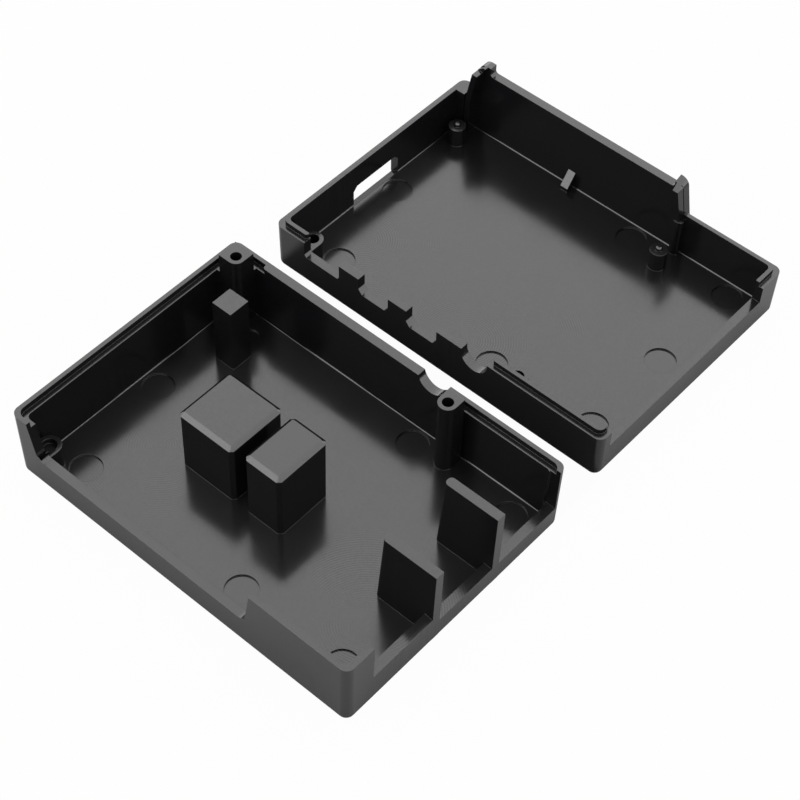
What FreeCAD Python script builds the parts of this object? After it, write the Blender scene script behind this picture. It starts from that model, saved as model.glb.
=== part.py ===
import FreeCAD, Part
import os
import re
import Sketcher
from FreeCAD import Placement, Rotation, Vector

# Two-part moulded housing for a credit-card-sized computer board.
# Both shells are drawn closed, in the frame of the board: X along its long side, Y across it,
# Z up from the underside of the lower shell. They are then laid open side by side.

sizes = {
    # the board that the housing holds
    "board_length": 85.0,
    "board_width": 56.0,
    "board_thickness": 1.4,
    "hole_inset": 3.5,
    "hole_pitch_long": 58.0,
    "end_clearance": 0.27,
    "port_clearance": 0.22,
    "header_clearance": 3.32,
    # walls
    "wall": 2.1,
    "floor": 2.3,
    "lower_height": 12.28,
    "upper_height": 17.94,
    "draft_angle": 1.0,
    "overlap": 0.1,
    "corner_round": 1.9,
    "edge_round": 1.5,
    "inner_corner_round": 1.2,
    "inner_edge_round": 0.35,
    # stepped joint between the shells
    "lip_height": 1.25,
    "lip_thickness": 0.9,
    "lip_side_clearance": 0.25,
    "lip_end_clearance": 0.15,
    "lip_round": 1.5,
    "lip_nose": 0.6,
    "land_start": 7.4,
    "land_end": 57.8,
    "land_nose": 0.8,
    "land_blend": 0.3,
    "land_margin": 0.3,
    "lower_lip_end": 6.0,
    "lower_lip_restart": 58.1,
    # openings of the port side
    "port_sill": 7.95,
    "power_start": 6.3,
    "power_width": 10.1,
    "video_first": 26.2,
    "video_second": 39.7,
    "video_width": 8.4,
    "port_foot": 1.0,
    "power_foot": 0.5,
    "port_foot_slope": 1.3,
    "jack_along": 54.1,
    "jack_height": 11.53,
    "jack_radius": 3.5,
    # opening of the plug side
    "plug_start": 1.3,
    "plug_end": 53.95,
    "plug_start_upper": -0.2,
    "plug_sill": 7.9,
    "plug_head_rise": 0.5,
    "sill_margin": 0.4,
    "plug_head": 22.2,
    # card slot
    "card_start": 20.9,
    "card_width": 15.0,
    "card_top": 7.4,
    "card_corner": 1.2,
    "card_ramp": 0.4,
    "card_slope": 0.65,
    # header window of the upper shell and the flange that stands in it
    "window_left": 2.2,
    "window_right": 62.7,
    "window_top": 22.07,
    "window_lean": 1.75,
    "window_round": 2.2,
    "flange_clearance": 0.1,
    "flange_thickness": 2.0,
    "cable_slit": 2.35,
    "left_tip": 2.8,
    "right_tip": 2.1,
    "tip_blend": 0.8,
    "return_inset": 0.1,
    "return_thickness": 1.4,
    "return_round": 1.2,
    "left_foot_reach": 3.2,
    "left_head_reach": 3.1,
    "left_full_reach": 1.0,
    "left_step": 1.35,
    "right_foot_reach": 1.7,
    "right_head_reach": 2.0,
    "right_fall": 1.33,
    "corner_pad_width": 2.4,
    "foot_pad_width": 0.5,
    "foot_pad_round": 0.45,
    # board posts and screw posts
    "standoff_height": 7.22,
    "boss_radius": 2.35,
    "pin_boss_radius": 2.05,
    "pin_radius": 0.8,
    "pin_height": 0.95,
    "pin_round": 0.45,
    "screw_clearance": 2.8,
    "screw_head": 5.2,
    "screw_head_depth": 1.4,
    "pilot_hole": 2.5,
    "pilot_depth": 13.0,
    "post_half": 3.0,
    "post_reach": 2.1,
    "post_round": 2.1,
    "post_flat": 2.8,
    "ring_along": 2.9,
    "ring_across": 57.2,
    "ring_outer": 2.55,
    "ring_hole": 1.6,
    "ring_depth": 1.4,
    "groove_start": 0.05,
    "groove_width": 0.85,
    "groove_depth": 0.9,
    "groove_skin": 0.3,
    # pillars that reach down to the chips
    "main_along": 29.55,
    "main_across": 32.05,
    "main_side": 14.7,
    "main_end": 11.58,
    "memory_gap": 3.2,
    "memory_across": 32.3,
    "memory_length": 9.5,
    "memory_width": 14.0,
    "memory_end": 10.22,
    "minor_along": 10.2,
    "minor_across": 12.2,
    "minor_side": 5.2,
    "minor_end": 10.6,
    "pillar_chamfer": 0.95,
    "pillar_corner": 0.8,
    # ribs between the plugs
    "rib_first": 18.35,
    "rib_second": 36.1,
    "rib_thickness": 2.1,
    "rib_foot": 12.7,
    "rib_lean": 1.5,
    "rib_nose": 0.95,
    "rib_clearance": 0.12,
    # support of the board's rear edge
    "nub_along": 32.0,
    "nub_width": 2.0,
    "nub_reach": 2.7,
    "nub_top": 6.8,
    "nub_front": 1.0,
    # round ejector marks
    "mark_radius": 3.5,
    "mark_depth": 0.4,
    # lying open
    "shell_gap": 12.92,
    "shell_shift": 1.07,
}

# the left end is the card side, the front is the port side, the back is the header side
outer_left = "(-end_clearance - wall)"
outer_right = "(board_length + end_clearance + wall)"
outer_front = "(-port_clearance - wall)"
outer_back = "(board_width + header_clearance + wall)"
inner_left = "(-end_clearance)"
inner_right = "(board_length + end_clearance)"
inner_front = "(-port_clearance)"
inner_back = "(board_width + header_clearance)"
lip_top = "(lower_height + lip_height)"
total_height = "(lower_height + upper_height)"
ceiling = "(lower_height + upper_height - floor)"
board_top = "(standoff_height + board_thickness)"
upper_lip = "(wall - lip_thickness - lip_side_clearance)"
memory_along = "(main_along + main_side / 2 + memory_gap + memory_length / 2)"
hole_far = "(hole_inset + hole_pitch_long)"
hole_back = "(board_width - hole_inset)"

screw_places = [("hole_inset", "hole_inset"), (hole_far, "hole_inset")]
pin_places = [("hole_inset", hole_back), (hole_far, hole_back)]
upper_marks = [(8.9, 53.5), (4.3, 28.6), (52.7, 53.6), (78.6, 53.1), (53.6, 4.2), (80.1, 4.8), (9.2, 7.2)]
lower_marks = [(8.9, 6.2), (4.1, 31.1), (52.9, 5.8), (79.0, 7.0), (78.9, 30.7), (78.7, 55.3), (52.5, 55.1)]

doc = FreeCAD.newDocument("board_housing")
sheet = doc.addObject("Spreadsheet::Sheet", "sizes")
for row, (alias, value) in enumerate(sizes.items(), start=1):
    sheet.set("A%d" % row, alias)
    sheet.set("B%d" % row, str(value))
    sheet.setAlias("B%d" % row, alias)
doc.recompute()


def bound(formula):
    """Turn size names in a formula into references to the sheet."""
    def reference(word):
        return "sizes." + word.group() if word.group() in sizes else word.group()
    return re.sub(r"[a-z_]+", reference, str(formula))


def value_of(formula):
    result = sheet.evalExpression(bound(formula))
    return float(getattr(result, "Value", result))


def new_body(name):
    body = doc.addObject("PartDesign::Body", name)
    body.Label = name
    return body


def new_sketch(body, name, role, offset):
    """A sketch parallel to one of the body's own planes, offset along that plane's normal."""
    plane = next(item for item in body.Origin.OriginFeatures if item.Role == role)
    sketch = body.newObject("Sketcher::SketchObject", name)
    sketch.AttachmentSupport = (plane, [""])
    sketch.MapMode = "FlatFace"
    sketch.AttachmentOffset = Placement(Vector(0, 0, value_of(offset)), Rotation())
    sketch.setExpression(".AttachmentOffset.Base.z", bound(offset))
    return sketch


def pin_point(sketch, index, end, along, up):
    """Fix one point of the sketch at two bound coordinates."""
    for kind, formula in (("DistanceX", along), ("DistanceY", up)):
        number = sketch.addConstraint(Sketcher.Constraint(kind, -1, 1, index, end, value_of(formula)))
        sketch.setExpression("Constraints[%d]" % number, bound(formula))


def draw_outline(sketch, points):
    first = sketch.GeometryCount
    corners = [Vector(value_of(along), value_of(up), 0) for along, up in points]
    count = len(corners)
    for index in range(count):
        sketch.addGeometry(Part.LineSegment(corners[index], corners[(index + 1) % count]))
    for index in range(count):
        following = first + (index + 1) % count
        sketch.addConstraint(Sketcher.Constraint("Coincident", first + index, 2, following, 1))
    for index, (along, up) in enumerate(points):
        pin_point(sketch, first + index, 1, along, up)


def draw_circle(sketch, along, up, radius):
    centre = Vector(value_of(along), value_of(up), 0)
    index = sketch.addGeometry(Part.Circle(centre, Vector(0, 0, 1), value_of(radius)))
    pin_point(sketch, index, 3, along, up)
    number = sketch.addConstraint(Sketcher.Constraint("Radius", index, value_of(radius)))
    sketch.setExpression("Constraints[%d]" % number, bound(radius))


def rectangle(left, right, front, back):
    return [(left, front), (right, front), (right, back), (left, back)]


def extrude(body, kind, name, sketch, length, reverse=False, both=False):
    """Pad or pocket a sketch, and make sure that it changed the solid."""
    doc.recompute()
    before = body.Shape.Volume if body.Tip else 0.0
    feature = body.newObject("PartDesign::" + kind, name)
    feature.Profile = sketch
    feature.Reversed = reverse
    if both:
        feature.SideType = "Symmetric"
    feature.setExpression("Length", bound(length))
    doc.recompute()
    change = body.Shape.Volume - before
    if (change > 0) != (kind == "Pad") or abs(change) < 0.01:
        raise RuntimeError("%s changed the volume by %.3f" % (name, change))
    return feature


def block(body, kind, name, outline, start, length, reverse=False):
    """Pad or pocket an outline seen from above, from the height start."""
    sketch = new_sketch(body, name + "_sketch", "XY_Plane", start)
    draw_outline(sketch, outline)
    return extrude(body, kind, name, sketch, length, reverse)


def slab(body, kind, name, outline, middle, width):
    """Pad or pocket an outline seen from the front, both ways from the place middle."""
    sketch = new_sketch(body, name + "_sketch", "XZ_Plane", "-(%s)" % middle)
    draw_outline(sketch, outline)
    return extrude(body, kind, name, sketch, width, both=True)


def side_slab(body, kind, name, outline, left, right):
    """Pad or pocket an outline seen from the end, between two places along X."""
    sketch = new_sketch(body, name + "_sketch", "YZ_Plane", "((%s + %s) / 2)" % (left, right))
    draw_outline(sketch, outline)
    return extrude(body, kind, name, sketch, "(%s - %s)" % (right, left), both=True)


def edges_of(body, wanted):
    """Names of the edges of the body's shape that the test picks."""
    return ["Edge%d" % (number + 1) for number, edge in enumerate(body.Shape.Edges) if wanted(edge)]


def dress(body, kind, name, wanted, size):
    """Fillet or chamfer the edges that the test picks."""
    base = body.Tip
    names = edges_of(body, wanted)
    if not names:
        raise RuntimeError(name + " finds no edges")
    feature = body.newObject("PartDesign::" + kind, name)
    feature.Base = (base, names)
    feature.setExpression("Radius" if kind == "Fillet" else "Size", bound(size))
    doc.recompute()
    if not feature.isValid():
        raise RuntimeError("%s: %s on %s" % (name, feature.getStatusString(), names))
    return feature


def lean_walls(body, name, wanted, height, reverse):
    """Draft the faces that the test picks about the plane at this height."""
    base = body.Tip
    names = ["Face%d" % (number + 1) for number, face in enumerate(body.Shape.Faces) if wanted(face)]
    plane = body.newObject("PartDesign::Plane", name + "_plane")
    plane.AttachmentSupport = (next(i for i in body.Origin.OriginFeatures if i.Role == "XY_Plane"), [""])
    plane.MapMode = "FlatFace"
    plane.setExpression(".AttachmentOffset.Base.z", bound(height))
    doc.recompute()
    feature = body.newObject("PartDesign::Draft", name)
    feature.Base = (base, names)
    feature.NeutralPlane = (plane, [""])
    feature.Reversed = reverse
    feature.setExpression("Angle", bound("draft_angle"))
    doc.recompute()
    return feature


def is_upright(edge):
    """True for a straight edge that runs mostly up and down."""
    if not isinstance(edge.Curve, Part.Line):
        return False
    return abs(edge.tangentAt(edge.FirstParameter).z) > 0.9


def near(point, along=None, across=None, up=None, reach=0.05):
    """True when each given coordinate of the point is within reach of its formula."""
    wanted = ((point.x, along), (point.y, across), (point.z, up))
    return all(formula is None or abs(have - value_of(formula)) < reach for have, formula in wanted)


def is_wall(face, outer):
    """True for one of the four walls of the plain box, outside or inside."""
    if abs(face.normalAt(0, 0).z) > 0.5:
        return False
    sides = [outer_left, outer_right, outer_front, outer_back] if outer else \
        [inner_left, inner_right, inner_front, inner_back]
    centre = face.CenterOfMass
    return near(centre, along=sides[0]) or near(centre, along=sides[1]) \
        or near(centre, across=sides[2]) or near(centre, across=sides[3])


def flat_loop(height):
    """A test for the level edges at this height."""
    level = value_of(height)

    def wanted(edge):
        box = edge.BoundBox
        return abs(box.ZMin - level) < 0.01 and abs(box.ZMax - level) < 0.01
    return wanted


def hollow_box(body, rim, height, upward):
    """The drafted tray that each shell starts from, with its rim at one height."""
    outline = rectangle(outer_left, outer_right, outer_front, outer_back)
    block(body, "Pad", body.Name + "_box", outline, rim, height, reverse=not upward)
    lean_walls(body, body.Name + "_draft", lambda face: is_wall(face, True), rim, not upward)
    dress(body, "Fillet", body.Name + "_corners", is_upright, "corner_round")
    base = "(%s %s %s)" % (rim, "+" if upward else "-", height)
    dress(body, "Fillet", body.Name + "_edge", flat_loop(base), "edge_round")
    cavity = rectangle(inner_left, inner_right, inner_front, inner_back)
    block(body, "Pocket", body.Name + "_cavity", cavity, rim, "(%s - floor)" % height, reverse=upward)
    lean_walls(body, body.Name + "_inner_draft", lambda face: is_wall(face, False), rim, upward)
    left, right = value_of(inner_left), value_of(inner_right)
    front, back = value_of(inner_front), value_of(inner_back)

    def inside(edge):
        box = edge.BoundBox
        return (left - 0.1 < box.XMin and box.XMax < right + 0.1
                and front - 0.1 < box.YMin and box.YMax < back + 0.1)

    dress(body, "Fillet", body.Name + "_inner_corners",
          lambda edge: is_upright(edge) and inside(edge), "inner_corner_round")
    bottom = flat_loop("(%s %s %s %s floor)" % (rim, "+" if upward else "-", height, "-" if upward else "+"))
    dress(body, "Fillet", body.Name + "_inner_edge", lambda edge: bottom(edge) and inside(edge),
          "inner_edge_round")


def round_corners(body, name, inset, radius):
    """Round the four upright corners of a step that lies this far inside the outer walls."""
    sides = [("(%s + %s)" % (outer_left, inset), "(%s - %s)" % (outer_right, inset)),
             ("(%s + %s)" % (outer_front, inset), "(%s - %s)" % (outer_back, inset))]
    dress(body, "Fillet", name,
          lambda edge: is_upright(edge) and any(near(edge.CenterOfMass, along=along, across=across)
                                                for along in sides[0] for across in sides[1]), radius)


def ejector_marks(body, places, start, upward):
    sketch = new_sketch(body, body.Name + "_marks_sketch", "XY_Plane", start)
    for along, across in places:
        draw_circle(sketch, along, across, "mark_radius")
    extrude(body, "Pocket", body.Name + "_marks", sketch, "mark_depth", reverse=upward)


def plug_opening(body, start, sill, top, rise, name):
    """Cut the plug side's wall from start to plug_end; the sill rises by rise towards the inside."""
    reach = "(edge_round + wall)"
    inside = "(%s - inner_edge_round)" % inner_right
    outline = [
        (inside, "(%s + %s)" % (sill, rise)),
        ("(%s - sill_margin)" % inner_right, "(%s + %s)" % (sill, rise)),
        (outer_right, sill),
        ("(%s + %s)" % (outer_right, reach), sill),
        ("(%s + %s)" % (outer_right, reach), top),
        (inside, top),
    ]
    slab(body, "Pocket", name, outline, "((%s + plug_end) / 2)" % start, "(plug_end - %s)" % start)


def jack_notch(body):
    sketch = new_sketch(body, body.Name + "_jack_sketch", "XZ_Plane",
                        "-((%s + %s) / 2)" % (outer_front, inner_front))
    draw_circle(sketch, "jack_along", "jack_height", "jack_radius")
    extrude(body, "Pocket", body.Name + "_jack", sketch, "(2 * wall)", both=True)


def lower_shell():
    body = new_body("lower_shell")
    hollow_box(body, lip_top, lip_top, upward=False)
    ejector_marks(body, lower_marks, "floor", upward=False)

    # the outside of the rim is stepped down all round, so that a thin lip is left inside
    step = "(wall - lip_thickness)"
    sketch = new_sketch(body, "rim_step_sketch", "XY_Plane", lip_top)
    draw_outline(sketch, rectangle("(%s - wall)" % outer_left, "(%s + wall)" % outer_right,
                                   "(%s - wall)" % outer_front, "(%s + wall)" % outer_back))
    draw_outline(sketch, rectangle("(%s + %s)" % (outer_left, step), "(%s - %s)" % (outer_right, step),
                                   "(%s + %s)" % (outer_front, step), "(%s - %s)" % (outer_back, step)))
    extrude(body, "Pocket", "rim_step", sketch, "lip_height")
    lip_front = "(%s + %s)" % (outer_front, step)
    round_corners(body, "lip_corners", step, "lip_round")
    block(body, "Pocket", "lip_break",
          rectangle("lower_lip_end", "lower_lip_restart",
                    "(%s - wall)" % outer_front, "(%s + wall)" % inner_front),
          lip_top, "lip_height")
    dress(body, "Fillet", "lip_noses",
          lambda edge: is_upright(edge) and any(near(edge.CenterOfMass, along=along, across=lip_front)
                                                for along in ("lower_lip_end", "lower_lip_restart")),
          "lip_nose")

    # slots of the port side: upright sides with slanting feet
    wall_middle = "((%s + %s) / 2)" % (outer_front, inner_front)
    ports = [
        ("power", "power_start", "(power_start + power_width)", "power_foot"),
        ("video_one", "(video_first - video_width / 2)", "(video_first + video_width / 2)", "port_foot"),
        ("video_two", "(video_second - video_width / 2)", "(video_second + video_width / 2)", "port_foot"),
    ]
    for name, left, right, foot in ports:
        outline = [
            ("(%s + %s)" % (left, foot), "port_sill"),
            ("(%s - %s)" % (right, foot), "port_sill"),
            (right, "(port_sill + port_foot_slope * %s)" % foot),
            (right, "(%s + wall)" % lip_top),
            (left, "(%s + wall)" % lip_top),
            (left, "(port_sill + port_foot_slope * %s)" % foot),
        ]
        slab(body, "Pocket", name + "_slot", outline, wall_middle, "(2 * wall)")
    jack_notch(body)
    plug_opening(body, "plug_start", "plug_sill", "(%s + wall)" % lip_top, "0", "plug_side")

    # card slot, whose bottom falls away from the floor to the outside
    inside = "(%s + card_ramp)" % inner_left
    outside = "(%s - wall)" % outer_left
    outline = [
        (outside, "(floor - card_slope * (%s - %s))" % (inside, outside)),
        (inside, "floor"),
        (inside, "card_top"),
        (outside, "card_top"),
    ]
    slab(body, "Pocket", "card_slot", outline, "(card_start + card_width / 2)", "card_width")
    card_end = "(card_start + card_width)"
    dress(body, "Chamfer", "card_corners",
          lambda edge: edge.BoundBox.XLength > 0.5 * value_of("wall") and edge.BoundBox.YLength < 0.1
          and (near(edge.CenterOfMass, across="card_start", up="card_top")
               or near(edge.CenterOfMass, across=card_end, up="card_top")), "card_corner")

    # board posts: two with screw holes, tied to the nearest wall, and two that carry a pin
    root = "(floor / 2)"
    for name, places, radius, top in (("boss", screw_places, "boss_radius", "standoff_height"),
                                      ("pin_boss", pin_places, "pin_boss_radius", "standoff_height"),
                                      ("pin", pin_places, "pin_radius", "(standoff_height + pin_height)")):
        sketch = new_sketch(body, name + "_sketch", "XY_Plane", root)
        for along, across in places:
            draw_circle(sketch, along, across, radius)
        extrude(body, "Pad", name, sketch, "(%s - %s)" % (top, root))
    dress(body, "Fillet", "pin_round", flat_loop("(standoff_height + pin_height)"), "pin_round")
    webs = [
        ("near", rectangle("(%s - overlap)" % inner_left, "(hole_inset + boss_radius)",
                           "(%s - overlap)" % inner_front, "hole_inset")),
        ("far", rectangle("(%s - boss_radius)" % hole_far, "(%s + boss_radius)" % hole_far,
                          "(%s - overlap)" % inner_front, "hole_inset")),
    ]
    for name, outline in webs:
        block(body, "Pad", "boss_web_" + name, outline, root, "(standoff_height - %s)" % root)

    # flange that fills the header window of the upper shell, and its higher ends
    flange_foot = "(lower_height - wall)"
    tip_top = "(window_top - flange_clearance)"
    lean = "(window_lean * (window_top - flange_clearance - lower_height) / (window_top - lower_height))"
    left_side = "(window_left + flange_clearance)"
    right_side = "(window_right - flange_clearance)"
    flange_top = "(window_top - cable_slit)"
    flange_outer = "(%s - flange_clearance)" % outer_back
    flange_middle = "(%s - flange_thickness / 2)" % flange_outer
    left_tip_end = "(%s + %s + left_tip)" % (left_side, lean)
    right_tip_end = "(%s - %s - right_tip)" % (right_side, lean)
    outline = [
        (left_side, flange_foot),
        (right_side, flange_foot),
        (right_side, "lower_height"),
        ("(%s - %s)" % (right_side, lean), tip_top),
        (right_tip_end, tip_top),
        (right_tip_end, flange_top),
        (left_tip_end, flange_top),
        (left_tip_end, tip_top),
        ("(%s + %s)" % (left_side, lean), tip_top),
        (left_side, "lower_height"),
    ]
    slab(body, "Pad", "flange", outline, flange_middle, "flange_thickness")

    def crosswise(along, up):
        return lambda edge: near(edge.CenterOfMass, along=along, up=up) and edge.BoundBox.YLength > 1.5

    for name, along in (("left", "(%s + %s)" % (left_side, lean)),
                        ("right", "(%s - %s)" % (right_side, lean))):
        dress(body, "Fillet", "flange_%s_round" % name, crosswise(along, tip_top),
              "(window_round - flange_clearance)")
    for name, along in (("left", left_tip_end), ("right", right_tip_end)):
        dress(body, "Fillet", "flange_%s_blend" % name, crosswise(along, flange_top), "tip_blend")

    # the ends return inwards as thin leaning walls, rounded over like the corners of the window
    inner_face = "(%s - flange_thickness)" % flange_outer
    slope = "(window_lean / (window_top - lower_height))"
    bend = "(%s - return_round)" % tip_top
    root = "(floor / 2)"
    returns = [
        ("left", left_side, 1, "(%s - left_foot_reach)" % inner_face),
        ("right", right_side, -1, "(%s - max(right_foot_reach; right_head_reach))" % inner_face),
    ]
    for name, side, sign, start in returns:
        foot_at = "(%s + %d * return_inset)" % (side, sign)
        bend_at = "(%s + %d * %s * (%s - lower_height))" % (foot_at, sign, slope, bend)
        head_at = "(%s + %d * (%s + return_round))" % (foot_at, sign, lean)
        outline = [
            (foot_at, root),
            ("(%s + %d * return_thickness)" % (foot_at, sign), root),
            ("(%s + %d * return_thickness)" % (foot_at, sign), "lower_height"),
            ("(%s + %d * return_thickness)" % (bend_at, sign), bend),
            ("(%s + %d * return_thickness / 2)" % (head_at, sign), tip_top),
            (head_at, tip_top),
            (bend_at, bend),
            (foot_at, "lower_height"),
        ]
        slab(body, "Pad", "return_" + name, outline, "((%s + %s + return_inset) / 2)" % (start, inner_face),
             "(%s + return_inset - %s)" % (inner_face, start))
    above = "(%s + wall)" % tip_top
    stepped = "(%s - left_step)" % tip_top
    foot, head, full = ("(%s - left_%s_reach)" % (inner_face, part) for part in ("foot", "head", "full"))
    outline = [
        (foot, lip_top), (head, stepped), (full, stepped), (full, above), ("(%s - wall)" % foot, above),
        ("(%s - wall)" % foot, lip_top),
    ]
    side_slab(body, "Pocket", "left_step", outline, "(%s - return_inset)" % left_side, left_tip_end)
    foot, head = ("(%s - right_%s_reach)" % (inner_face, part) for part in ("foot", "head"))
    outline = [
        (foot, "lower_height"), (head, "(%s - right_fall)" % tip_top), (flange_outer, tip_top),
        (flange_outer, above), ("(%s - wall)" % head, above), ("(%s - wall)" % head, "lower_height"),
    ]
    side_slab(body, "Pocket", "right_slope", outline, right_tip_end, "(%s + return_inset)" % right_side)
    block(body, "Pad", "corner_pad",
          rectangle("(%s - overlap)" % inner_left, "(%s + corner_pad_width)" % inner_left,
                    "(%s - left_foot_reach)" % inner_face, "(%s + overlap)" % inner_back),
          root, "(%s - %s)" % (lip_top, root))
    pad_side = "(%s + foot_pad_width)" % right_side
    block(body, "Pad", "foot_pad",
          rectangle("(%s - return_thickness)" % right_side, pad_side, foot, "(%s + overlap)" % inner_back),
          root, "(lower_height - %s)" % root)
    dress(body, "Fillet", "foot_pad_round",
          lambda edge: is_upright(edge) and near(edge.CenterOfMass, along=pad_side, across=foot),
          "foot_pad_round")

    # support of the board's rear edge
    outline = [
        ("(%s - nub_reach)" % inner_back, root),
        ("(%s + wall / 2)" % inner_back, root),
        ("(%s + wall / 2)" % inner_back, "nub_top"),
        (inner_back, "nub_top"),
        ("(%s - nub_reach)" % inner_back, "(floor + nub_front)"),
    ]
    side_slab(body, "Pad", "edge_nub", outline, "(nub_along - nub_width / 2)", "(nub_along + nub_width / 2)")

    # screw holes through the posts, with seats for the heads in the underside
    for name, start, diameter, length, reverse in (
            ("screw_holes", "standoff_height", "screw_clearance", "(standoff_height + 1)", False),
            ("screw_seats", "0", "screw_head", "screw_head_depth", True)):
        sketch = new_sketch(body, name + "_sketch", "XY_Plane", start)
        for along, across in screw_places:
            draw_circle(sketch, along, across, "(%s / 2)" % diameter)
        extrude(body, "Pocket", name, sketch, length, reverse=reverse)
    return body


def upper_shell():
    body = new_body("upper_shell")
    hollow_box(body, "lower_height", "upper_height", upward=True)
    ejector_marks(body, upper_marks, ceiling, upward=True)

    # step that takes the lower shell's lip, except along the ports
    land = "(%s + land_margin)" % inner_front
    left = "(%s + %s)" % (outer_left, upper_lip)
    right = "(%s - %s)" % (outer_right, upper_lip)
    front = "(%s + %s)" % (outer_front, upper_lip)
    back = "(%s - %s)" % (outer_back, upper_lip)
    outline = [
        (left, front), ("land_start", front), ("land_start", land), ("land_end", land), ("land_end", front),
        (right, front), (right, back), (left, back),
    ]
    block(body, "Pocket", "lip_seat", outline, "lower_height", "(lip_height + lip_end_clearance)",
          reverse=True)
    round_corners(body, "seat_corners", upper_lip, "(lip_round + lip_side_clearance)")
    dress(body, "Fillet", "land_blend",
          lambda edge: is_upright(edge) and near(edge.CenterOfMass, along="land_start", across=front),
          "land_blend")
    dress(body, "Fillet", "land_nose",
          lambda edge: is_upright(edge) and near(edge.CenterOfMass, along="land_start", across=inner_front,
                                                 reach=0.1),
          "land_nose")

    # header window with leaning sides and rounded upper corners
    wall_middle = "((%s + %s) / 2)" % (outer_back, inner_back)
    outline = [
        ("(window_left - window_lean * wall / (window_top - lower_height))", "(lower_height - wall)"),
        ("(window_right + window_lean * wall / (window_top - lower_height))", "(lower_height - wall)"),
        ("(window_right - window_lean)", "window_top"),
        ("(window_left + window_lean)", "window_top"),
    ]
    slab(body, "Pocket", "header_window", outline, wall_middle, "(2 * wall)")
    for name, along in (("left", "(window_left + window_lean)"), ("right", "(window_right - window_lean)")):
        dress(body, "Fillet", "window_%s_round" % name,
              lambda edge: (near(edge.CenterOfMass, along=along, up="window_top")
                            and edge.BoundBox.YLength > 1.0),
              "window_round")
    jack_notch(body)
    plug_opening(body, "plug_start_upper", "plug_head", "(lower_height - wall)", "(-plug_head_rise)",
                 "plug_side")

    # screw posts: one squared into the corner, one free with a flat towards the wall
    root = "(%s + floor / 2)" % ceiling
    corner = rectangle("(hole_inset - post_half)", "(hole_inset + post_reach)", "(hole_inset - post_half)",
                       "(hole_inset + post_reach)")
    block(body, "Pad", "corner_post", corner, root, "(%s - %s)" % (root, board_top), reverse=True)
    filling = rectangle("(%s - 2 * overlap)" % inner_left, "(hole_inset + post_reach)",
                        "(%s - 2 * overlap)" % inner_front, "(hole_inset + post_reach)")
    block(body, "Pad", "corner_filling", filling, root,
          "(%s - lower_height - lip_height - lip_end_clearance)" % root, reverse=True)
    dress(body, "Fillet", "corner_post_round",
          lambda edge: is_upright(edge) and near(edge.CenterOfMass, along="(hole_inset + post_reach)",
                                                 across="(hole_inset + post_reach)"), "(0.95 * post_round)")
    sketch = new_sketch(body, "far_post_sketch", "XY_Plane", root)
    draw_circle(sketch, hole_far, "hole_inset", "post_round")
    extrude(body, "Pad", "far_post", sketch, "(%s - %s)" % (root, board_top), reverse=True)
    web = rectangle("(%s - post_round)" % hole_far, "(%s + post_round)" % hole_far,
                    "(hole_inset - post_flat)", "hole_inset")
    block(body, "Pad", "far_post_web", web, root, "(%s - %s)" % (root, board_top), reverse=True)
    sketch = new_sketch(body, "pilot_holes_sketch", "XY_Plane", board_top)
    for along, across in screw_places:
        draw_circle(sketch, along, across, "(pilot_hole / 2)")
    extrude(body, "Pocket", "pilot_holes", sketch, "pilot_depth", reverse=True)

    # open ring in the corner beside the header window
    sketch = new_sketch(body, "ring_sketch", "XY_Plane", root)
    draw_circle(sketch, "ring_along", "ring_across", "ring_outer")
    extrude(body, "Pad", "ring", sketch, "(%s - window_top)" % root, reverse=True)
    block(body, "Pad", "ring_web",
          rectangle("ring_along", "(ring_along + ring_outer)", "ring_across", "(%s + overlap)" % inner_back),
          root, "(%s - window_top)" % root, reverse=True)
    sketch = new_sketch(body, "ring_hole_sketch", "XY_Plane", "window_top")
    draw_circle(sketch, "ring_along", "ring_across", "ring_hole")
    extrude(body, "Pocket", "ring_bore", sketch, "ring_depth", reverse=True)
    groove = "(window_left + window_lean + groove_start)"
    block(body, "Pocket", "ring_groove",
          rectangle(groove, "(%s + groove_width)" % groove, "ring_across",
                    "(%s - groove_skin)" % outer_back),
          "(window_top - window_round)", "(groove_depth + window_round)", reverse=True)

    # pillars, chamfered at their free ends and, on the two large ones, along their corners
    pillars = [
        ("main_pillar", "main_along", "main_across", "main_side", "main_side", "main_end"),
        ("memory_pillar", memory_along, "memory_across", "memory_length", "memory_width", "memory_end"),
        ("minor_pillar", "minor_along", "minor_across", "minor_side", "minor_side", "minor_end"),
    ]
    for name, along, across, length, width, end in pillars:
        outline = rectangle("(%s - %s / 2)" % (along, length), "(%s + %s / 2)" % (along, length),
                            "(%s - %s / 2)" % (across, width), "(%s + %s / 2)" % (across, width))
        block(body, "Pad", name, outline, root, "(%s - %s)" % (root, end), reverse=True)
        if name == "minor_pillar":
            continue
        half_long, half_wide = value_of(length) / 2, value_of(width) / 2
        centre = Vector(value_of(along), value_of(across), 0)

        def of_pillar(edge):
            point = edge.CenterOfMass
            return abs(point.x - centre.x) < half_long + 0.1 and abs(point.y - centre.y) < half_wide + 0.1

        dress(body, "Chamfer", name + "_corners", lambda edge: is_upright(edge) and of_pillar(edge),
              "pillar_corner")
        level = flat_loop(end)
        dress(body, "Chamfer", name + "_end", lambda edge: level(edge) and of_pillar(edge), "pillar_chamfer")

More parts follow.
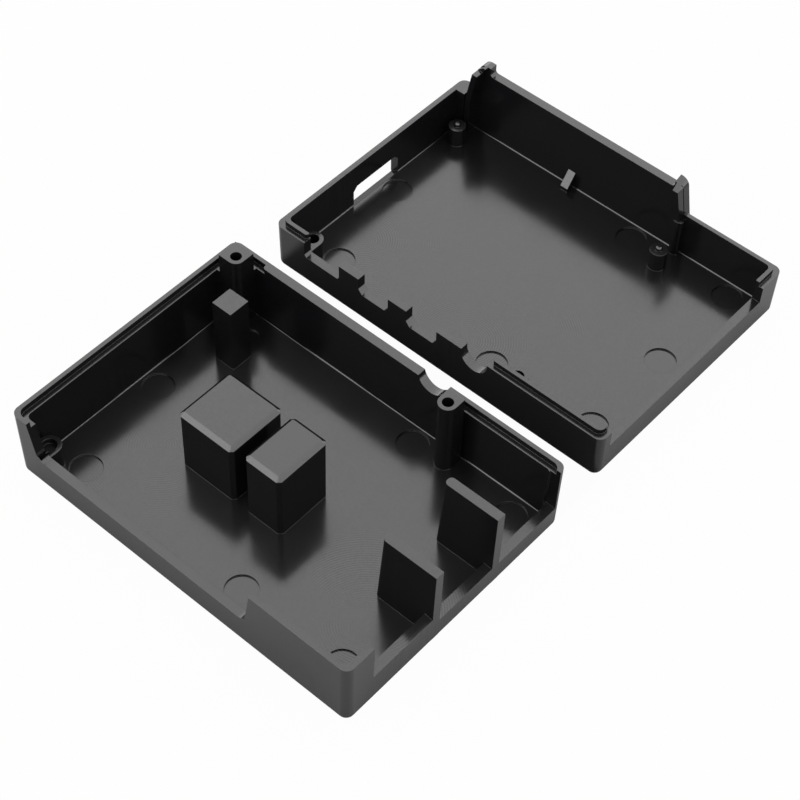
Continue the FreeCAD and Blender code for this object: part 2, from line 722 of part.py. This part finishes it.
    # ribs between the plugs, from the ceiling down to the lower shell's sill
    rib_end = "(plug_sill + rib_clearance)"
    outer_lean = "(tan(draft_angle))"
    foot_at = "(%s - rib_foot)" % inner_right
    outline = [
        (foot_at, root),
        ("(%s - %s * (%s - lower_height))" % (outer_right, outer_lean, root), root),
        ("(%s + %s * (lower_height - %s))" % (outer_right, outer_lean, rib_end), rib_end),
        ("(%s + rib_lean)" % foot_at, rib_end),
    ]
    for name, across in (("first_rib", "rib_first"), ("second_rib", "rib_second")):
        slab(body, "Pad", name, outline, across, "rib_thickness")
        dress(body, "Fillet", name + "_nose",
              lambda edge: is_upright(edge) and near(edge.CenterOfMass, along="(%s + rib_lean / 2)" % foot_at)
              and abs(edge.CenterOfMass.y - value_of(across)) < value_of("rib_thickness"), "rib_nose")
    return body


lower = lower_shell()
upper = upper_shell()

# laid open: the lower shell behind, the upper one turned over in front of it,
# with the middle of the pair's footprint at the origin
middle_across = "((shell_gap - %s - %s) / 2)" % (outer_front, outer_front)
span_across = "((%s - %s) * 2 + shell_gap)" % (outer_back, outer_front)
middle_along = "((%s + %s - shell_shift) / 2)" % (outer_left, outer_right)
lower.setExpression(".Placement.Base.x", bound("-%s - shell_shift" % middle_along))
lower.setExpression(".Placement.Base.y", bound("%s / 2 - %s" % (span_across, outer_back)))
upper.Placement = Placement(Vector(0, 0, 0), Rotation(Vector(1, 0, 0), 180))
upper.setExpression(".Placement.Base.x", bound("-%s" % middle_along))
upper.setExpression(".Placement.Base.y", bound("%s - %s / 2" % (outer_back, span_across)))
upper.setExpression(".Placement.Base.z", bound(total_height))
doc.recompute()

for item in doc.Objects:
    if "Invalid" in item.State or "Error" in item.State:
        raise RuntimeError("%s failed: %s" % (item.Name, item.State))

os.makedirs("parts", exist_ok=True)
for body in (lower, upper):
    shape = body.Shape
    if shape.isNull() or not shape.isValid() or len(shape.Solids) != 1:
        raise RuntimeError("%s is not one sound solid" % body.Label)
    box = shape.BoundBox
    print("%s: %.2f..%.2f, %.2f..%.2f, %.2f..%.2f mm, volume %.0f mm3" % (
        body.Label, box.XMin, box.XMax, box.YMin, box.YMax, box.ZMin, box.ZMax, shape.Volume))
    shape.exportStep("parts/%s.step" % body.Label)
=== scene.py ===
import math

import bpy
from mathutils import Matrix, Vector


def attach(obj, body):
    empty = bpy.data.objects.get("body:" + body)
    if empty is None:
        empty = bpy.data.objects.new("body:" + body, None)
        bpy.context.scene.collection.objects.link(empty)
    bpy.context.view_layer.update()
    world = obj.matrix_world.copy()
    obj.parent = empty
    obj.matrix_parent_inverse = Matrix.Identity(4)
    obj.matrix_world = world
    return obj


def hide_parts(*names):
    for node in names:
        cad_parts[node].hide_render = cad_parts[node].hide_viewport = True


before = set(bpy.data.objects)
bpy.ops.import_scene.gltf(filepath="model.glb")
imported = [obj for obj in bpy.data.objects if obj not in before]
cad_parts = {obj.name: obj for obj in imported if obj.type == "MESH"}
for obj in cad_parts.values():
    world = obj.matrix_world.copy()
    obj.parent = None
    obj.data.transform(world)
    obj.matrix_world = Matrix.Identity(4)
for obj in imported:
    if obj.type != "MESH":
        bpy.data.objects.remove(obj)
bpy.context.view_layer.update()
mm = 0.001  # sizes below are written in millimetres, and this turns them to metres
print("frame loaded:", sorted(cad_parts))

scene = bpy.context.scene
scene.view_settings.view_transform = "Standard"


def deselectAll():
    bpy.ops.object.select_all(action="DESELECT")


def makeActive(piece):
    deselectAll()
    piece.select_set(True)
    bpy.context.view_layer.objects.active = piece


def toLinear(hexColour):
    channels = [int(hexColour[i:i + 2], 16) / 255 for i in (0, 2, 4)]
    return [c / 12.92 if c <= 0.04045 else ((c + 0.055) / 1.055) ** 2.4 for c in channels] + [1.0]


def addNode(owner, kind, values={}, links={}, **options):
    node = owner.node_tree.nodes.new(kind)
    for name, option in options.items():
        setattr(node, name, option)
    for socket, value in values.items():
        node.inputs[socket].default_value = value
    for socket, source in links.items():
        owner.node_tree.links.new(source, node.inputs[socket])
    return node


plastic = {
    "base": "080809",
    "ior": 1.53,
    "specular": 0.48,
    "crossedSpecular": 0.08,  # two faces at right angles polarise light across each other, and little is left
    "roughness": 0.17,
    "roughnessSpread": 0.04,
    "edgeRound": 0.1,
    "edgeSamples": 6,
    "grainSize": 0.16,
    "grainDetail": 3.0,
    "grainDepth": 0.002,
    "grainStrength": 0.6,
    "grainSpread": 0.09,
    "smudgeSize": 14.0,
    "smudgeDetail": 5.0,
    "noiseSpan": (0.3, 0.7),  # nearly all of a noise lies between these
}

# faint arcs that the cutter left in the floors of the mould
cutter = {
    "turns": (((-34.4, 23.1), 19), ((2.0, 16.0), 30), ((34.0, -52.0), 24), ((-26.0, -48.0), 22)),  # place, reach
    "fadeFrom": 0.8,  # share of the reach
    "step": 0.55,
    "spread": 0.2,
    "patchSize": 16.0,
    "patchDetail": 1.0,
    "patchSpan": (0.42, 0.6),
}
ringScale = math.pi / 10  # a wave texture of this scale has one ring in each unit


def cutterArcs(material, place):
    total = None
    for centre, reach in cutter["turns"]:
        turned = addNode(material, "ShaderNodeMapping", {"Location": [-c * mm for c in centre] + [0]},
                         {"Vector": place.outputs["Object"]})
        rings = addNode(material, "ShaderNodeTexWave",
                        {"Scale": ringScale / (cutter["step"] * mm), "Distortion": 0.0},
                        {"Vector": turned.outputs["Vector"]}, wave_type="RINGS", rings_direction="Z")
        away = addNode(material, "ShaderNodeVectorMath", {}, {0: turned.outputs["Vector"]}, operation="LENGTH")
        near = addNode(material, "ShaderNodeMapRange",
                       {"From Min": reach * mm, "From Max": cutter["fadeFrom"] * reach * mm,
                        "To Max": cutter["spread"]},
                       {"Value": away.outputs["Value"]})
        swing = addNode(material, "ShaderNodeMath", {1: 0.5}, {0: rings.outputs["Fac"]}, operation="SUBTRACT")
        arcs = addNode(material, "ShaderNodeMath", {}, {0: swing.outputs[0], 1: near.outputs["Result"]},
                       operation="MULTIPLY").outputs[0]
        total = arcs if total is None else addNode(material, "ShaderNodeMath", {}, {0: arcs, 1: total},
                                                   operation="ADD").outputs[0]
    patches = addNode(material, "ShaderNodeTexNoise",
                      {"Scale": 1 / (cutter["patchSize"] * mm), "Detail": cutter["patchDetail"]},
                      {"Vector": place.outputs["Object"]})
    low, high = cutter["patchSpan"]
    seen = addNode(material, "ShaderNodeMapRange", {"From Min": low, "From Max": high},
                   {"Value": patches.outputs["Fac"]})
    return addNode(material, "ShaderNodeMath", {}, {0: total, 1: seen.outputs["Result"]},
                   operation="MULTIPLY").outputs[0]


def mouldedAbs():
    # black ABS from a polished mould: a dark gloss with a fine speckle, soft mirror images and thin bright edges
    material = bpy.data.materials.new("moulded_black_abs")
    material.use_nodes = True
    links = material.node_tree.links
    shader = material.node_tree.nodes["Principled BSDF"]
    shader.inputs["Base Color"].default_value = toLinear(plastic["base"])
    shader.inputs["IOR"].default_value = plastic["ior"]
    place = addNode(material, "ShaderNodeTexCoord")
    low, high = plastic["noiseSpan"]
    grain = addNode(material, "ShaderNodeTexNoise",
                    {"Scale": 1 / (plastic["grainSize"] * mm), "Detail": plastic["grainDetail"]},
                    {"Vector": place.outputs["Object"]})
    rounded = addNode(material, "ShaderNodeBevel", {"Radius": plastic["edgeRound"] * mm},
                      samples=plastic["edgeSamples"])
    bump = addNode(material, "ShaderNodeBump",
                   {"Strength": plastic["grainStrength"], "Distance": plastic["grainDepth"] * mm},
                   {"Height": grain.outputs["Fac"], "Normal": rounded.outputs["Normal"]})
    links.new(bump.outputs["Normal"], shader.inputs["Normal"])
    speckle = addNode(material, "ShaderNodeMapRange",
                      {"From Min": low, "From Max": high, "To Min": plastic["specular"] - plastic["grainSpread"],
                       "To Max": plastic["specular"] + plastic["grainSpread"]},
                      {"Value": grain.outputs["Fac"]})
    level = addNode(material, "ShaderNodeMath", {}, {0: speckle.outputs["Result"], 1: cutterArcs(material, place)},
                    operation="ADD")
    rays = addNode(material, "ShaderNodeLightPath")
    gloss = addNode(material, "ShaderNodeMapRange", {"To Max": plastic["crossedSpecular"]},
                    {"Value": rays.outputs["Is Glossy Ray"], "To Min": level.outputs[0]})
    links.new(gloss.outputs["Result"], shader.inputs["Specular IOR Level"])
    smudge = addNode(material, "ShaderNodeTexNoise",
                     {"Scale": 1 / (plastic["smudgeSize"] * mm), "Detail": plastic["smudgeDetail"]},
                     {"Vector": place.outputs["Object"]})
    spread = addNode(material, "ShaderNodeMapRange",
                     {"From Min": low, "From Max": high,
                      "To Min": plastic["roughness"] - plastic["roughnessSpread"],
                      "To Max": plastic["roughness"] + plastic["roughnessSpread"]},
                     {"Value": smudge.outputs["Fac"]})
    links.new(spread.outputs["Result"], shader.inputs["Roughness"])
    return material


blackAbs = mouldedAbs()
print("plastic ready")

shells = {
    "mergeWithin": 0.002,
    "flatAngle": 0.3,  # degrees, as the next one
    "smoothAngle": 35,
}


def flatRegions(mesh):
    region = list(range(len(mesh.polygons)))

    def rootOf(i):
        while region[i] != i:
            region[i] = region[region[i]]
            i = region[i]
        return i

    beside = {}
    for face in mesh.polygons:
        for key in face.edge_keys:
            beside.setdefault(key, []).append(face)
    flat = math.cos(math.radians(shells["flatAngle"]))
    for pair in beside.values():
        if len(pair) == 2 and pair[0].normal.dot(pair[1].normal) > flat:
            region[rootOf(pair[0].index)] = rootOf(pair[1].index)
    roots = [rootOf(i) for i in range(len(region))]
    areas = {}
    for face, root in zip(mesh.polygons, roots):
        areas[root] = areas.get(root, 0.0) + face.area
    return roots, areas


def evenNormals(mesh):
    # curved stretches turn smooth, and a large flat face keeps its own direction up to its edges
    roots, areas = flatRegions(mesh)
    smooth = math.cos(math.radians(shells["smoothAngle"]))
    around = [[] for _ in mesh.vertices]
    for face in mesh.polygons:
        for corner in face.vertices:
            around[corner].append(face)
    normals = []
    for face in mesh.polygons:
        for corner in face.vertices:
            total = Vector((0, 0, 0))
            met = set()
            for other in around[corner]:
                root = roots[other.index]
                if root not in met and face.normal.dot(other.normal) > smooth:
                    met.add(root)
                    total += other.normal * areas[root]
            normals.append(total.normalized() if total.length > 0 else face.normal.copy())
    mesh.normals_split_custom_set(normals)


# two of the three plug bays reach about 2 mm lower in the photo than in the solid
sills = {
    "bays": ((-43.83, -28.18), (-26.08, -8.58)),  # along Y
    "across": (42.5, 47.0),  # along X
    "inner": 6.25,
    "outer": 5.8,
    "top": 8.6,
    "overcut": 0.02,
}


def lowerSills(piece):
    near, far = sills["across"]
    for start, end in sills["bays"]:
        deselectAll()
        bpy.ops.mesh.primitive_cube_add(size=1)
        tool = bpy.context.active_object
        for corner in tool.data.vertices:
            inside, front, low = (c < 0 for c in corner.co)
            foot = sills["inner"] if inside else sills["outer"]
            corner.co = Vector((near if inside else far,
                                start - sills["overcut"] if front else end + sills["overcut"],
                                foot if low else sills["top"])) * mm
        cut = piece.modifiers.new("sillCut", "BOOLEAN")
        cut.operation = "DIFFERENCE"
        cut.solver = "EXACT"
        cut.object = tool
        makeActive(piece)
        bpy.ops.object.modifier_apply(modifier=cut.name)
        bpy.data.objects.remove(tool)


def dressShell(nodeName, pieceName, reshape=None):
    piece = bpy.data.objects.new(pieceName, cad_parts[nodeName].data.copy())
    scene.collection.objects.link(piece)
    makeActive(piece)
    bpy.ops.object.mode_set(mode="EDIT")
    bpy.ops.mesh.select_all(action="SELECT")
    bpy.ops.mesh.remove_doubles(threshold=shells["mergeWithin"] * mm)
    bpy.ops.mesh.dissolve_degenerate(threshold=shells["mergeWithin"] * mm)
    bpy.ops.object.mode_set(mode="OBJECT")
    if reshape:
        reshape(piece)
    bpy.ops.object.shade_smooth()
    evenNormals(piece.data)
    piece.data.materials.clear()
    piece.data.materials.append(blackAbs)
    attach(piece, "root")
    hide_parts(nodeName)
    print(pieceName, "faces:", len(piece.data.polygons))


dressShell("lower_shell", "lower_moulding")
dressShell("upper_shell", "upper_moulding", lowerSills)

view = {
    "eye": (178.455, -219.37, 340.91),
    "azimuth": 39.93,
    "elevation": 50.22,
    "roll": 1.94,
    "focal": 2095.7,  # in pixels of the 800 pixel frame, as the centre
    "centre": (391.96, 380.12),
    "frame": 800,
    "sensor": 36.0,
    "clipStart": 10,
}


def placeCamera():
    azimuth, elevation, roll = (math.radians(view[k]) for k in ("azimuth", "elevation", "roll"))
    right = Vector((math.cos(azimuth), math.sin(azimuth), 0))
    back = Vector((math.sin(azimuth) * math.cos(elevation), -math.cos(azimuth) * math.cos(elevation),
                   math.sin(elevation)))
    up = back.cross(right)
    rolledRight = math.cos(roll) * right + math.sin(roll) * up
    rolledUp = back.cross(rolledRight)
    turn = Matrix((rolledRight, rolledUp, back)).transposed()
    data = bpy.data.cameras.new("photoView")
    data.sensor_width = view["sensor"]
    data.sensor_fit = "HORIZONTAL"
    data.lens = view["focal"] / view["frame"] * view["sensor"]
    middle = (view["frame"] - 1) / 2
    data.shift_x = (middle - view["centre"][0]) / view["frame"]
    data.shift_y = (view["centre"][1] - middle) / view["frame"]
    data.clip_start = view["clipStart"] * mm
    camera = bpy.data.objects.new("photoView", data)
    camera.matrix_world = Matrix.Translation(Vector(view["eye"]) * mm) @ turn.to_4x4()
    scene.collection.objects.link(camera)
    scene.camera = camera


placeCamera()
print("camera placed")

studio = {
    "floorSize": 3000,
    "floorDrop": 0.02,
    "tentLevel": 3.15,
    "lampTowards": (-0.41, -0.77, 0.49),  # the side that the front chamfers mirror
    "lampSpan": (0.86, 0.97),  # cosines of the angle to it, from the lamp's soft edge to its full light
    "lampGain": 0.6,
    "tableShade": "7e7e7e",
    "seenShare": 0.97,  # the rest of what the camera sees is the shadow
    # painted shade: a darker table tone between the shells, standing in for the shade the two walls cast there;
    # only the shells' mirror images show it
    "gapPaintedShade": "3a3a3a",
    "gapHalf": (44.0, 6.0),  # half the length and width of the painted shade strip between the shells
    "gapSoft": 2.0,
}


def layFloor():
    # matt white board: plain white to the camera apart from the shadow, a soft grey in what the shells mirror, and
    # a darker painted shade strip between the shells
    deselectAll()
    bpy.ops.mesh.primitive_plane_add(size=studio["floorSize"] * mm, location=(0, 0, -studio["floorDrop"] * mm))
    floor = bpy.context.active_object
    floor.name = "table"
    bpy.ops.object.transform_apply(location=True)
    material = bpy.data.materials.new("white_table")
    material.use_nodes = True
    nodes = material.node_tree.nodes
    nodes.remove(nodes["Principled BSDF"])
    rays = addNode(material, "ShaderNodeLightPath")
    place = addNode(material, "ShaderNodeTexCoord")
    along = addNode(material, "ShaderNodeSeparateXYZ", {}, {0: place.outputs["Object"]})
    # mask for the painted shade strip between the shells: 0 inside it, 1 outside
    sides = []
    for axis, half in zip("XY", studio["gapHalf"]):
        away = addNode(material, "ShaderNodeMath", {}, {0: along.outputs[axis]}, operation="ABSOLUTE")
        side = addNode(material, "ShaderNodeMapRange",
                       {"From Min": half * mm, "From Max": (half + studio["gapSoft"]) * mm},
                       {"Value": away.outputs[0]})
        sides.append(side.outputs["Result"])
    shade = addNode(material, "ShaderNodeMath", {}, {0: sides[0], 1: sides[1]}, operation="MAXIMUM")
    tone = addNode(material, "ShaderNodeMix", {6: toLinear(studio["gapPaintedShade"]), 7: toLinear(studio["tableShade"])},
                   {0: shade.outputs[0]}, data_type="RGBA")
    plain = addNode(material, "ShaderNodeBsdfDiffuse", {}, {"Color": tone.outputs[2]})
    glow = addNode(material, "ShaderNodeEmission", {"Strength": 1.0})
    share = addNode(material, "ShaderNodeMath", {1: studio["seenShare"]}, {0: rays.outputs["Is Camera Ray"]},
                    operation="MULTIPLY")
    mix = addNode(material, "ShaderNodeMixShader", {},
                  {0: share.outputs[0], 1: plain.outputs[0], 2: glow.outputs[0]})
    material.node_tree.links.new(mix.outputs[0], nodes["Material Output"].inputs["Surface"])
    floor.data.materials.append(material)


layFloor()


def lightStudio():
    world = bpy.data.worlds.new("studio")
    scene.world = world
    world.use_nodes = True
    sky = world.node_tree.nodes["Background"]
    sky.inputs["Color"].default_value = (1, 1, 1, 1)
    place = addNode(world, "ShaderNodeTexCoord")
    towards = addNode(world, "ShaderNodeVectorMath", {1: studio["lampTowards"]}, {0: place.outputs["Generated"]},
                      operation="DOT_PRODUCT")
    edge, full = studio["lampSpan"]
    lamp = addNode(world, "ShaderNodeMapRange",
                   {"From Min": edge, "From Max": full, "To Min": studio["tentLevel"],
                    "To Max": studio["tentLevel"] * (1 + studio["lampGain"])},
                   {"Value": towards.outputs["Value"]})
    rays = addNode(world, "ShaderNodeLightPath")
    level = addNode(world, "ShaderNodeMapRange", {"To Max": 1.0},
                    {"Value": rays.outputs["Is Camera Ray"], "To Min": lamp.outputs["Result"]})
    world.node_tree.links.new(level.outputs["Result"], sky.inputs["Strength"])


lightStudio()
print("studio ready")
